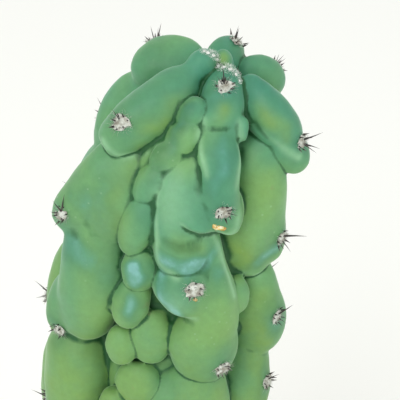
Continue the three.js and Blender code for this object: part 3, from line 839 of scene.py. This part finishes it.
# Patches of pale blue bloom on the skin. The rows on the beads low in the front furrow are bright glints
# painted in the bloom's colour: painted highlights.
BLOOM_AND_GLINT_PATCHES = [
    ([[-6, 36, 129, 0.8], [-3, 37, 128, 1], [3, 37.5, 129, 1], [8.5, 33.5, 129, 1], [11, 33, 135, 0.7]],
     3.6),
    # Painted highlight: a bright glint on a bead in the furrow.
    ([[-15, 33, 123, 1], [-14.5, 34, 117, 0.9]], 3.8),
    ([[-6, 36, 122, 1], [-3, 37.5, 116, 1], [1, 38.5, 110.5, 0.9]], 5),
    ([[14, 35.5, 127, 0.9], [13, 36, 120, 0.5]], 4),
    ([[33, 21, 136, 0.8], [31.5, 22.5, 131, 0.8], [29, 23, 125, 0.65]], 4.5),
    ([[-38, 18, 143, 0.5], [-32, 23, 138, 0.75], [-29, 24, 131, 0.4]], 5),
    ([[-36, 20, 121, 0.7], [-28.5, 26, 120.5, 0.7], [-24, 26.5, 119, 0.4]], 5.5),
    ([[5, 29, 173, 0.6], [6.5, 32, 168, 0.7], [6, 36, 162, 0.6], [5.5, 38, 154, 0.5]], 4.5),
    ([[-4.5, 18, 181, 0.6], [-3, 22, 185, 0.6]], 4.5),
    ([[-17, 18, 181, 0.4], [-24, 22, 173.5, 0.55]], 7),
    ([[13, 16, 188.5, 0.4], [20, 17, 184, 0.35], [28, 17, 180, 0.45]], 5.5),
    ([[-29.5, 24.5, 146, 0.5], [-22, 26, 116, 0.5]], 8),
    # Painted highlight: a bright glint on a bead in the furrow.
    ([[-13.5, 33, 111, 0.8], [-14, 34, 105, 0.7]], 4),
    ([[-14.5, 31.5, 141.5, 0.4]], 6),
    ([[-9.5, 24, 178, 0.55], [-10, 25.5, 172, 0.6], [-13.5, 28, 163, 0.5], [-14.5, 30.5, 154, 0.45]], 4),
    ([[-22.5, -3, 178, 0.45]], 8),
    ([[2.5, -10, 186.5, 0.5]], 6),
]
FLUSH_PATCHES = [
    ([[-11, 19, 179, 0.5], [-14.5, 22, 173, 0.9], [-18, 24, 168.5, 0.9]], 4.5),
    ([[-18.5, 22, 160, 0.8], [-21, 24, 152, 0.7], [-24, 26, 143, 0.5]], 5),
    ([[13, 19, 181.5, 0.4], [17.5, 22, 179.5, 0.8], [23, 22.5, 178, 0.7]], 3.5),
    ([[31, 23.5, 107, 0.8], [31, 23.5, 94, 1], [33, 22, 70, 1]], 9),
    ([[2, 25, 181, 0.8]], 3.5),
    ([[24, 25.5, 126, 1], [20, 25.5, 131, 1]], 7),
    ([[-24, 27, 135, 0.8], [-19, 26, 128, 0.6]], 7),
    ([[19, 24.5, 159, 0.6], [23.5, 26, 150.5, 0.6]], 7),
    ([[-1.5, 7.5, 191, 1]], 4),
    ([[7.5, 38.5, 98.5, 0.6]], 7),
    ([[-2.5, 38, 138, 0.6], [4, 37, 136, 0.6]], 4),
]
FLUSH_HEIGHT = 240 * MM
FLUSH_FADE = 70 * MM
FLUSH_LOW = 0.8
FLUSH_UNDER = 0.3
WANDER = 3.5 * MM
WANDER_SIZE = 8 * MM
HIGHLIGHT_WANDER = WANDER / 5


def mesh_vectors(mesh_data, field):
    """One vector of every item of a mesh, as rows of three."""
    values = np.empty(len(mesh_data) * 3)
    mesh_data.foreach_get(field, values)
    return values.reshape(-1, 3)


def along_lines(places, rows):
    """How far each place is pressed in or coloured. A row is a line of points that hold its strength
    last, and its half width. Where lines meet, the strongest counts."""
    strongest = np.zeros(len(places))
    for points, half_width in rows:
        for start, end in zip(points, points[1:] or points):
            foot = np.array(on_stem(*start[:3]))
            run = np.array(on_stem(*end[:3])) - foot
            share = np.clip((places - foot) @ run / max(run @ run, MM**2), 0, 1)
            away = np.linalg.norm(places - foot - share[:, None] * run, axis=1) / (half_width * MM)
            here = (start[3] + (end[3] - start[3]) * share) * np.exp(-(away**2))
            strongest = np.where(np.abs(here) > np.abs(strongest), here, strongest)
    return strongest


def worked_surface(skin):
    """Gives the skin the slight unevenness of grown flesh, and presses its creases in."""
    mesh = skin.data
    places = mesh_vectors(mesh.vertices, "co")
    normals = mesh_vectors(mesh.vertex_normals, "vector")
    change = -sum(along_lines(places, [row]) for row in CREASES)
    change -= DEEP_FOLD_PRESS * along_lines(places, SHADED_FOLDS)
    for i, place in enumerate(places):
        spot = Vector(place) / MM
        change[i] += SWELL * noise.noise(spot / SWELL_SIZE) + RIPPLE * noise.noise(spot / RIPPLE_SIZE)
    places += normals * (change * MM)[:, None]
    mesh.vertices.foreach_set("co", places.ravel())
    mesh.update()


def places_on_skin(skin, rows):
    """Where each row's azimuth, radius, height and lift meet the skin, with axes that point out."""
    surface = BVHTree.FromObject(skin, bpy.context.evaluated_depsgraph_get())
    places = []
    for azimuth, radius, up, lift, *others in rows:
        angle = math.radians(azimuth)
        rise = math.radians(lift)
        far = radius + PAD_REACH * math.cos(rise)
        target = on_stem(radius * math.sin(angle), radius * math.cos(angle), up)
        outside = on_stem(far * math.sin(angle), far * math.cos(angle), up + PAD_REACH * math.sin(rise))
        outward = (outside - target).normalized()
        hit, normal = surface.ray_cast(outside, -outward)[:2]
        facing = (normal + outward).normalized()
        side = Vector((0, 0, 1)).cross(facing).normalized()
        top = facing.cross(side)
        axes = Matrix((side, top, facing)).transposed().to_4x4()
        places.append(Matrix.Translation(hit) @ axes)
    return places


def folds_bloom_and_painted_light(skin, pads):
    """Stores how deep each point lies in a fold, with the shaded folds added to it as painted shade, and
    where the pale blue bloom with its painted glints, the yellow-green flush and the painted highlights
    along lips and edges lie, as attributes of the skin."""
    mesh = skin.data
    places = mesh_vectors(mesh.vertices, "co")
    normals = mesh_vectors(mesh.vertex_normals, "vector")
    edges = np.empty(len(mesh.edges) * 2, int)
    mesh.edges.foreach_get("vertices", edges)
    starts, ends = edges.reshape(-1, 2).T
    count = len(places)
    near = np.bincount(edges, minlength=count)
    eased = places.copy()
    for step in range(FOLD_EASING):
        total = [
            np.bincount(starts, line[ends], count) + np.bincount(ends, line[starts], count)
            for line in eased.T
        ]
        eased = (np.array(total) / near).T
    # How concave each point is. The skin's colour is painted dark in folds and light on convex ridges from
    # it: painted shade and painted highlight.
    fold = ((eased - places) * normals).sum(1) / FOLD_DEPTH
    # The shaded folds are added to the fold measure, so that they are painted dark: painted shade.
    fold = np.maximum(fold, along_lines(places, SHADED_FOLDS))
    spots = [Vector(place) / WANDER_SIZE for place in places]
    shifts = [Vector((0, 0, shift)) for shift in (0, 20, 40)]
    wander = np.array([[noise.noise(spot + shift) for spot in spots] for shift in shifts]).T
    wandered = places + wander * WANDER
    # Pale blue bloom, with bright glints painted on a few beads: partly the skin's own colour, partly painted
    # highlight.
    bloom_and_glint = along_lines(wandered, BLOOM_AND_GLINT_PATCHES)
    for pad in pads:
        away = np.linalg.norm(wandered - np.array(pad.translation), axis=1) / PAD_BLOOM_SIZE
        bloom_and_glint = np.maximum(bloom_and_glint, PAD_BLOOM * np.exp(-(away**2)))
    # Lines painted lighter along lips and edges: painted highlights.
    pale = along_lines(places + wander * HIGHLIGHT_WANDER, HIGHLIGHT_LINES)
    low = np.clip((FLUSH_HEIGHT - places[:, 2]) / FLUSH_FADE, 0, 1)
    under = np.clip(-normals[:, 2], 0, 1)
    flush = np.maximum(along_lines(wandered, FLUSH_PATCHES), FLUSH_LOW * low + FLUSH_UNDER * under)
    for name, values in (("fold", fold), ("bloom_and_glint", bloom_and_glint), ("flush", flush), ("pale", pale)):
        layer = mesh.attributes.new(name, "FLOAT", "POINT")
        layer.data.foreach_set("value", np.clip(values, -1, 1).astype(np.float32))


def skin_material():
    material, tree, shader = material_of(
        "waxy_skin",
        Specular_IOR_Level=0.3,
        Sheen_Weight=0.4,
        Sheen_Roughness=0.3,
        Sheen_Tint=(0.75, 1, 0.8, 1),
        Subsurface_Weight=0.25,
        Subsurface_Radius=(0.6, 1.0, 0.4),
        Subsurface_Scale=2 * MM,
    )
    place = node(tree, "TexCoord", "Object")
    clouds = node(tree, "TexNoise", Vector=place, Scale=24, Detail=2)
    patchy = node(tree, "TexNoise", Vector=place, Scale=75, Detail=5, Roughness=0.55)
    fine = node(tree, "TexNoise", Vector=place, Scale=420, Detail=4, Roughness=0.65)
    flecks = node(tree, "TexVoronoi", Vector=place, Scale=330)
    height = node(tree, "SeparateXYZ", "Z", Vector=place)
    broken = spread(tree, patchy, 0.35, 0.6, low=0.6)
    greens = ramp(
        tree, clouds, (0.36, (0.058, 0.25, 0.166)), (0.5, (0.096, 0.29, 0.15)), (0.64, (0.155, 0.342, 0.13))
    )
    flush = maths(tree, "MULTIPLY", attribute(tree, "flush"), broken)
    flushed = mix(tree, greens, (0.185, 0.325, 0.075), flush)
    # Pale blue bloom, with the glints painted on the beads: partly real colour, partly painted highlight.
    bloom_and_glint = maths(tree, "MULTIPLY", attribute(tree, "bloom_and_glint"), broken)
    blues = ramp(
        tree, bloom_and_glint, (0.35, (0.03, 0.155, 0.09)), (0.6, (0.07, 0.25, 0.19)), (0.85, (0.19, 0.42, 0.4))
    )
    bloomed_and_glinted = mix(tree, flushed, blues, bloom_and_glint)
    fold = attribute(tree, "fold")
    # Convex ridges and the highlight lines are painted a pale green: painted highlights.
    painted_lip_highlight = maths(tree, "MULTIPLY", attribute(tree, "pale"), 0.8)
    pale = maths(tree, "MAXIMUM", spread(tree, fold, -0.5, -1, high=0.6), painted_lip_highlight)
    highlighted = mix(tree, bloomed_and_glinted, (0.28, 0.52, 0.3), pale)
    # Folds and the shaded folds are painted dark green: painted shade.
    fold_shaded = mix(tree, highlighted, (0.012, 0.085, 0.025), spread(tree, fold, 0.25, 0.8, high=0.94))
    mottled = mix(tree, fold_shaded, fine, 0.15, "OVERLAY")
    few = spread(tree, clouds, 0.52, 0.7, high=0.22)
    fleck = maths(tree, "MULTIPLY", spread(tree, flecks, 0.16, 0.06), few)
    flecked = mix(tree, mottled, (0.42, 0.6, 0.42), fleck)
    foot = spread(tree, height, 128 * MM, 102 * MM, -0.15, 0.35)
    cork = spread(tree, maths(tree, "ADD", foot, patchy), 0.55, 0.72)
    corked = mix(tree, flecked, (0.26, 0.19, 0.1), cork)
    gloss = spread(tree, patchy, 0.3, 0.7, 0.42, 0.62)
    bump = node(tree, "Bump", Height=fine, Strength=0.35, Distance=0.12 * MM)
    fill(tree, shader, Base_Color=corked, Roughness=gloss, Normal=bump)
    return material


stem = stem_skin()
worked_surface(stem)
pads = places_on_skin(stem, PADS)
folds_bloom_and_painted_light(stem, pads)
stem.data.materials.append(skin_material())
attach(stem, "root")
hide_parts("stem")


# Wool pads
# A pad of short curled wool grows at the tip of each tubercle, thick in the middle and thin at its
# edge, where the skin shows between the hairs.
PAD_RADIUS = 4.6
PAD_FLATNESS = 0.8
PAD_HEIGHT = 0.6
PAD_SHAPES = 6
HAIRS = 140
WOOL_SEED = 8


def placed_copies(shapes_and_places):
    """One bmesh of copies, each a shape set in its place."""
    bm = bmesh.new()
    for shape, place in shapes_and_places:
        copy = shape.copy()
        copy.transform(place)
        poured(bm, copy)
    return bm


def tapered_rod(sides, thickness, cuts, bend):
    """A pointed rod one unit long along +Z, which bends over to +X towards its tip."""
    bm = bmesh.new()
    bmesh.ops.create_cone(bm, segments=sides, radius1=thickness, radius2=0, depth=1, cap_ends=True)
    long_edges = [e for e in bm.edges if e.calc_length() > 0.5]
    bmesh.ops.subdivide_edges(bm, edges=long_edges, cuts=cuts)
    for v in bm.verts:
        rise = v.co.z + 0.5
        v.co = Vector((v.co.x + bend * rise**2, v.co.y, rise))
    return mesh_of(bm)


def towards(heading):
    return Vector((0, 0, 1)).rotation_difference(heading).to_matrix().to_4x4()


def felt_pad(draw):
    """The matted middle of a pad: a low cushion with an uneven edge, in millimetres."""
    bm = bmesh.new()
    bmesh.ops.create_uvsphere(bm, u_segments=20, v_segments=12, radius=1)
    shift = Vector((next(draw), next(draw), next(draw))) * 20
    for v in bm.verts:
        edge = 0.66 + 0.4 * noise.noise(v.co * 1.6 + shift) + 0.1 * noise.noise(v.co * 5 + shift)
        crown = 1 + 0.4 * noise.noise(v.co * 2 + shift)
        flat = Vector((v.co.x, v.co.y * PAD_FLATNESS, 0)) * (PAD_RADIUS * edge)
        v.co = flat + Vector((0, 0, PAD_HEIGHT * crown * v.co.z))
    return mesh_of(bm)


def wool_tuft(hairs, draw):
    """A spray of curled hairs that covers one pad, in millimetres."""
    rows = []
    for i in range(HAIRS):
        angle = 2 * math.pi * next(draw)
        away = next(draw) ** 0.6
        spot = Vector((math.cos(angle), math.sin(angle) * PAD_FLATNESS, 0)) * (away * PAD_RADIUS * 0.95)
        spot.z = 0.55 * (1 - away**2) - 0.1
        lean = Vector((math.cos(angle), math.sin(angle), 0)) * (0.2 + 0.7 * away)
        lean += Vector((next(draw) - 0.5, next(draw) - 0.5, 0)) * 1.8
        heading = (lean + Vector((0, 0, 0.7))).normalized()
        length = 1 + 0.9 * next(draw)
        spin = Matrix.Rotation(2 * math.pi * next(draw), 4, "Z")
        hair = hairs[int(next(draw) * len(hairs))]
        rows.append((hair, Matrix.Translation(spot) @ towards(heading) @ spin @ Matrix.Scale(length, 4)))
    return mesh_of(placed_copies(rows))


def grained_material(name, scale, tones, strength, depth, **values):
    """A material whose tones and relief follow one fine grain."""
    material, tree, shader = material_of(name, **values)
    grain = node(tree, "TexNoise", Vector=node(tree, "TexCoord", "Object"), Scale=scale, Detail=3)
    bump = node(tree, "Bump", Height=grain, Strength=strength, Distance=depth)
    fill(tree, shader, Base_Color=ramp(tree, grain, *tones), Normal=bump)
    return material


def wool_material():
    tones = [(0.38, (0.3, 0.285, 0.23)), (0.5, (0.5, 0.515, 0.45)), (0.62, (0.68, 0.71, 0.65))]
    return grained_material("cream_wool", 620, tones, 0.5, 0.2 * MM, Roughness=0.9, Sheen_Weight=0.3)


wool_draw = seeded_series(WOOL_SEED)
hairs = [tapered_rod(sides=3, thickness=0.032, cuts=2, bend=bend) for bend in (0.15, 0.4, 0.7)]
felts = [felt_pad(wool_draw) for i in range(PAD_SHAPES)]
tufts = [wool_tuft(hairs, wool_draw) for i in range(PAD_SHAPES)]
woolly = []
for i, (pad, row) in enumerate(zip(pads, PADS)):
    sized = pad @ Matrix.Scale(row[4] * MM, 4)
    woolly.append((felts[i % PAD_SHAPES], sized))
    for j in range(2):
        woolly.append((tufts[(i + j) % PAD_SHAPES], sized @ Matrix.Scale(1 - 0.25 * j, 4)))
wool = shown("wool_pads", placed_copies(woolly))
wool.data.materials.append(wool_material())
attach(wool, "root")
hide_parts("stem")


# Growing-tip wool
# Fine white wool fills the crease between the youngest tubercles at the very top. It is younger and
# cleaner than the pads' wool. Rows are [azimuth, distance from the axis, height, lift, size].
TIP_WOOL = [
    [-46, 12, 190, 70, 0.35],
    [-40, 11.5, 190.5, 70, 0.5],
    [-33, 10, 190, 70, 0.55],
    [-25, 8.5, 189.5, 60, 0.45],
    [-14, 10, 189.5, 60, 0.45],
    [-6, 11.5, 189.5, 60, 0.6],
    [3, 12.5, 189.5, 70, 0.6],
    [12, 14, 189.5, 70, 0.45],
    [17, 15.5, 188.5, 70, 0.35],
]
TIP_FELT = 0.45


def white_wool_material():
    tones = [(0.36, (0.62, 0.66, 0.6)), (0.5, (0.84, 0.86, 0.82)), (0.62, (0.94, 0.94, 0.92))]
    return grained_material("white_wool", 700, tones, 0.4, 0.15 * MM, Roughness=0.9, Sheen_Weight=0.3)


tip_hairs = [tapered_rod(sides=4, thickness=0.042, cuts=2, bend=bend) for bend in (0.3, 0.6, 1)]
tip_tufts = [wool_tuft(tip_hairs, wool_draw) for i in range(3)]
tip_rows = []
for i, (place, row) in enumerate(zip(places_on_skin(stem, TIP_WOOL), TIP_WOOL)):
    sized = place @ Matrix.Scale(row[4] * MM, 4)
    tip_rows.append((tip_tufts[i % 3], sized))
    tip_rows.append((felts[i % PAD_SHAPES], sized @ Matrix.Scale(TIP_FELT, 4)))
tip_wool = shown("tip_wool", placed_copies(tip_rows))
tip_wool.data.materials.append(white_wool_material())
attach(tip_wool, "root")
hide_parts("stem")


# Spines
# A ring of short dark spines and one to three longer ones stand in each pad. A long spine is given
# in its pad's row as (length, turn from the pad's right, tilt outwards).
SHORT_SPINES = 7
SPINE_SEED = 5


def spine_rows(pads):
    """Every spine's shape and place, from the pads' rows and a seeded ring of short ones."""
    draw = seeded_series(SPINE_SEED)
    long_shape = tapered_rod(sides=8, thickness=0.05, cuts=5, bend=0.07)
    short_shape = tapered_rod(sides=6, thickness=0.16, cuts=2, bend=0.1)
    rows = []
    for pad, row in zip(pads, PADS):
        spines = [(long_shape, length, turn, tilt, 0.9) for length, turn, tilt in row[5]]
        for i in range(SHORT_SPINES):
            turn = 360 * (i + 0.7 * next(draw)) / SHORT_SPINES
            length = 0.9 + 0.9 * next(draw)
            spines.append((short_shape, length, turn, 15 + 30 * next(draw), 1.7 + 1.2 * next(draw)))
        for shape, length, turn, tilt, away in spines:
            angle = math.radians(turn)
            lean = math.radians(tilt)
            around = Vector((math.cos(angle), math.sin(angle), 0))
            heading = around * math.sin(lean) + Vector((0, 0, math.cos(lean)))
            foot = Matrix.Translation((around * away + Vector((0, 0, 0.2))) * MM)
            spin = Matrix.Rotation(2 * math.pi * next(draw), 4, "Z")
            size = Matrix.Scale((length + 0.6) * MM, 4)
            rows.append((shape, pad @ foot @ towards(heading) @ spin @ size))
    return rows


def spine_material():
    tones = [(0.4, (0.014, 0.011, 0.012)), (0.58, (0.05, 0.038, 0.036)), (0.7, (0.14, 0.11, 0.09))]
    return grained_material("dark_spine", 450, tones, 0.3, 0.05 * MM, Roughness=0.45)


spines = shown("spines", placed_copies(spine_rows(pads)))
spines.data.materials.append(spine_material())
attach(spines, "root")
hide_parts("stem")


# Amber drops
# Sap that has seeped out below two of the front pads and dried into small clear drops. Rows are
# [azimuth, distance from the axis, height, how far it leans up, size].
AMBER = [
    [15.5, 37.8, 145, -5, 0.7],
    [13, 37.8, 145.3, -8, 0.5],
    [18, 37.8, 144.6, -8, 0.5],
    [10, 40, 117.6, 0, 0.4],
]


def amber_material():
    tones = [(0.38, (0.4, 0.24, 0.05)), (0.52, (0.62, 0.45, 0.13)), (0.64, (0.8, 0.74, 0.5))]
    clear = {"Roughness": 0.25, "Subsurface_Weight": 0.4, "Subsurface_Scale": 1 * MM}
    return grained_material("dried_sap", 600, tones, 0.4, 0.1 * MM, **clear)


def sap_drop():
    bm = bmesh.new()
    bmesh.ops.create_icosphere(bm, subdivisions=4, radius=1)
    for v in bm.verts:
        v.co *= 1 + 0.4 * noise.noise(v.co * 1.4 + Vector((4, 0, 9))) + 0.12 * noise.noise(v.co * 4)
        v.co = Vector((v.co.x * 2.1, v.co.y * 1.5, v.co.z * 0.9))
    return mesh_of(bm)


drop = sap_drop()
drops = [
    (drop, place @ Matrix.Scale(row[4] * MM, 4) @ Matrix.Rotation(1.9 * i, 4, "Z"))
    for i, (place, row) in enumerate(zip(places_on_skin(stem, AMBER), AMBER))
]
amber = shown("amber_drops", placed_copies(drops))
amber.data.materials.append(amber_material())
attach(amber, "root")
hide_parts("stem")


# Floor and light
# A plain pale floor and soft studio light all round, with one broad lamp high in front on the left and
# a weaker one on the right.
FLOOR_SIZE = 8
ROOM_BRIGHTNESS = 0.92
LAMPS_AIM = Vector((0, 0, 0.22))

floor_mesh = bmesh.new()
bmesh.ops.create_grid(floor_mesh, x_segments=1, y_segments=1, size=FLOOR_SIZE / 2)
floor = shown("floor", floor_mesh)
floor_paint = material_of("floor_paint", Base_Color=(0.97, 0.98, 0.95, 1), Roughness=0.8)[0]
floor.data.materials.append(floor_paint)

world = bpy.data.worlds.new("studio")
bpy.context.scene.world = world
world.use_nodes = True
world.node_tree.nodes["Background"].inputs["Color"].default_value = (1, 1, 0.98, 1)
world.node_tree.nodes["Background"].inputs["Strength"].default_value = ROOM_BRIGHTNESS


def lamp(name, place, size, power):
    light = bpy.data.lights.new(name, "AREA")
    light.size = size
    light.energy = power
    holder = bpy.data.objects.new(name, light)
    holder.location = place
    aim = LAMPS_AIM - Vector(place)
    holder.rotation_euler = aim.to_track_quat("-Z", "Y").to_euler()
    bpy.context.scene.collection.objects.link(holder)


lamp("key_lamp", (-0.35, -0.75, 0.85), size=0.5, power=4)
lamp("fill_lamp", (0.7, -0.5, 0.5), size=0.6, power=1)
bpy.context.scene.view_settings.view_transform = "Standard"
